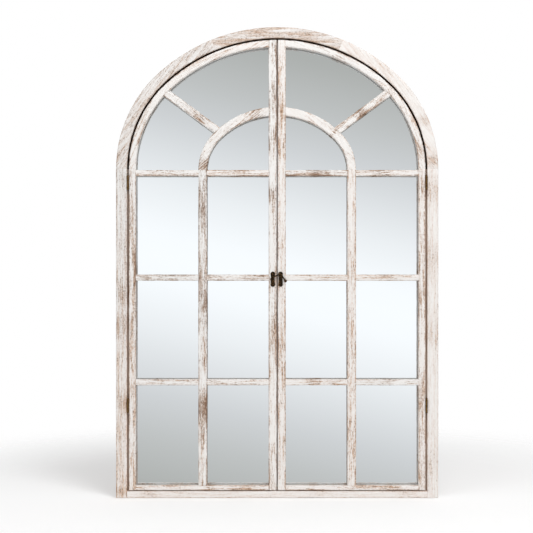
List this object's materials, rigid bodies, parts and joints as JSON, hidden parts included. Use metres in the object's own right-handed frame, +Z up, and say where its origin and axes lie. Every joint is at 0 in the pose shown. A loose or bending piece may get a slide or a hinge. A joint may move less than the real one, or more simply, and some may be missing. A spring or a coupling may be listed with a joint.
{
  "type": "arched window mirror",
  "caption": "Arched wall mirror in a whitewashed wooden window frame, with hinged latticed doors in front of one mirror sheet and a swing hook latch.",
  "frame": {"origin": "midway between the round entries of the two keyhole hangers, on the back plane of the frame", "axes": "+Z up, the front with the doors faces -Y and the wall is on the +Y side, +X to the right seen from the front"},
  "size_m": [0.85, 0.0433, 1.242],
  "materials": {
    "whitewashed_wood": "whitewash worn through to brown grain along the edges",
    "mirror": "silvered glass",
    "hardboard": "raw brown hardboard",
    "aged_brass": "dull aged brass",
    "dark_bronze": "dark antique bronze",
    "steel": "zinc-plated steel",
    "felt": "dense felt"
  },
  "bodies": {
    "frame": {"frame_post_left": "whitewashed_wood", "frame_post_right": "whitewashed_wood", "frame_sill": "whitewashed_wood", "frame_arch_left": "whitewashed_wood", "frame_arch_crown": "whitewashed_wood", "frame_arch_right": "whitewashed_wood", "frame_mullion": "whitewashed_wood", "mirror_glass": "mirror", "backing_board": "hardboard", "retaining_clips": "steel", "hanger_plates": "steel", "back_screws": "steel", "wall_pads": "felt", "left_upper_hinge_frame_leaf": "aged_brass", "left_lower_hinge_frame_leaf": "aged_brass", "right_upper_hinge_frame_leaf": "aged_brass", "right_lower_hinge_frame_leaf": "aged_brass", "hinge_pins": "aged_brass", "frame_leaf_screws": "aged_brass"},
    "left_door": {"left_outer_stile": "whitewashed_wood", "left_meeting_stile": "whitewashed_wood", "left_bottom_rail": "whitewashed_wood", "left_arch_rail_lower": "whitewashed_wood", "left_arch_rail_upper": "whitewashed_wood", "left_muntin": "whitewashed_wood", "left_inner_arch": "whitewashed_wood", "left_radial_bar": "whitewashed_wood", "left_lower_bar_inner": "whitewashed_wood", "left_lower_bar_outer": "whitewashed_wood", "left_middle_bar_inner": "whitewashed_wood", "left_middle_bar_outer": "whitewashed_wood", "left_upper_bar_inner": "whitewashed_wood", "left_upper_bar_outer": "whitewashed_wood", "left_upper_hinge_door_leaf": "aged_brass", "left_lower_hinge_door_leaf": "aged_brass", "left_leaf_screws": "aged_brass", "catch_plate": "dark_bronze", "catch_stud": "dark_bronze", "catch_nails": "dark_bronze"},
    "right_door": {"right_outer_stile": "whitewashed_wood", "right_meeting_stile": "whitewashed_wood", "right_bottom_rail": "whitewashed_wood", "right_arch_rail_lower": "whitewashed_wood", "right_arch_rail_upper": "whitewashed_wood", "right_muntin": "whitewashed_wood", "right_inner_arch": "whitewashed_wood", "right_radial_bar": "whitewashed_wood", "right_lower_bar_inner": "whitewashed_wood", "right_lower_bar_outer": "whitewashed_wood", "right_middle_bar_inner": "whitewashed_wood", "right_middle_bar_outer": "whitewashed_wood", "right_upper_bar_inner": "whitewashed_wood", "right_upper_bar_outer": "whitewashed_wood", "right_upper_hinge_door_leaf": "aged_brass", "right_lower_hinge_door_leaf": "aged_brass", "right_leaf_screws": "aged_brass", "hook_plate": "dark_bronze", "hook_pivot": "dark_bronze", "hook_nails": "dark_bronze"},
    "latch_hook": {"latch_hook": "dark_bronze"}
  },
  "joints": [
    {"name": "left_door_hinge", "type": "hinge", "parent": "frame", "child": "left_door", "pos_m": [-0.3935, -0.0315, 0], "axis": [0, 0, -1], "range_deg": [0, 175]},
    {"name": "right_door_hinge", "type": "hinge", "parent": "frame", "child": "right_door", "pos_m": [0.3935, -0.0315, 0], "axis": [0, 0, 1], "range_deg": [0, 175]},
    {"name": "hook_pivot", "type": "hinge", "parent": "right_door", "child": "latch_hook", "pos_m": [0.0088, -0.0354, -0.1695], "axis": [0, 1, 0], "range_deg": [0, 70]}
  ]
}
